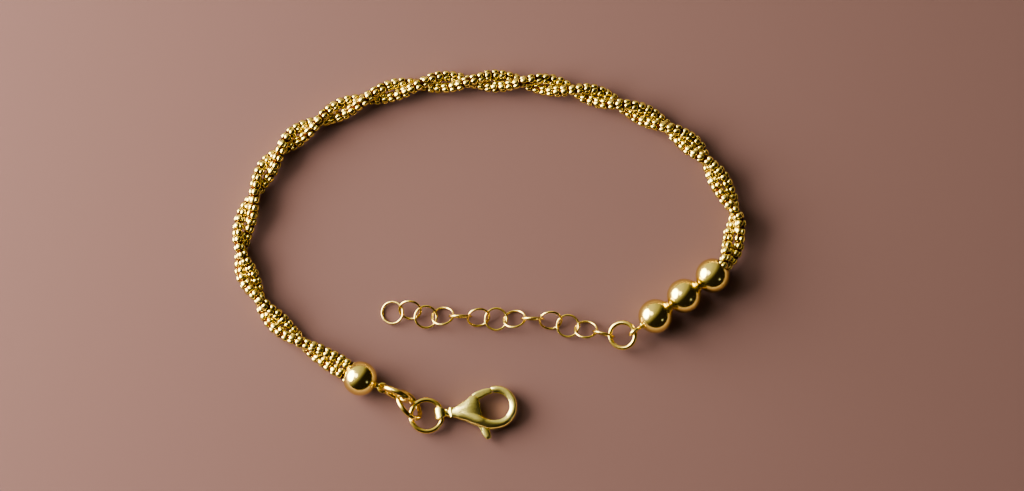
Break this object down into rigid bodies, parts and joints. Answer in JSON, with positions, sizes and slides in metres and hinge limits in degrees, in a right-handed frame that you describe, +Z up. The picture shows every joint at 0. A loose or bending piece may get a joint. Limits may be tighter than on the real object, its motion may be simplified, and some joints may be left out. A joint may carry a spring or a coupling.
{
  "type": "braided bracelet",
  "caption": "Gold-coloured bracelet of two twisted popcorn chains with polished balls, a lobster clasp and an extension chain, lying unfastened in a loop.",
  "frame": {"origin": "middle of the outline, on the surface that the bracelet lies on", "axes": "+X to the right along the length of the laid loop, +Y towards the top of the loop, +Z up"},
  "size_m": [0.0685, 0.0494, 0.0049],
  "materials": {
    "popcorn_gold": "bright gold plate on stamped popcorn links",
    "ball_gold": "mirror polished gold plate",
    "ring_gold": "polished gold plated wire",
    "clasp_gold": "tumbled polished gold plate"
  },
  "bodies": {
    "bracelet": {"strand_a": "popcorn_gold", "strand_b": "popcorn_gold", "end_ball": "ball_gold", "bead_a": "ball_gold", "bead_b": "ball_gold", "bead_c": "ball_gold", "bead_pin": "ball_gold", "clasp_ring_1": "ring_gold", "clasp_ring_2": "ring_gold", "clasp_ring_3": "ring_gold", "clasp_body": "clasp_gold", "jump_ring": "ring_gold", "ext_ring_01": "ring_gold", "ext_ring_02": "ring_gold", "ext_ring_03": "ring_gold", "ext_ring_04": "ring_gold", "ext_ring_05": "ring_gold", "ext_ring_06": "ring_gold", "ext_ring_07": "ring_gold", "ext_ring_08": "ring_gold", "ext_ring_09": "ring_gold", "ext_ring_10": "ring_gold", "ext_ring_11": "ring_gold", "ext_ring_12": "ring_gold", "ext_ring_13": "ring_gold"},
    "lever": {"clasp_lever": "clasp_gold"}
  },
  "joints": [
    {"name": "lever_hinge", "type": "hinge", "parent": "bracelet", "child": "lever", "pos_m": [-0.00221, -0.02024, 0.0011], "axis": [0, 0, -1], "range_deg": [0, 25], "stiffness_Nm_per_rad": 0.002, "springref_deg": -5.73}
  ]
}
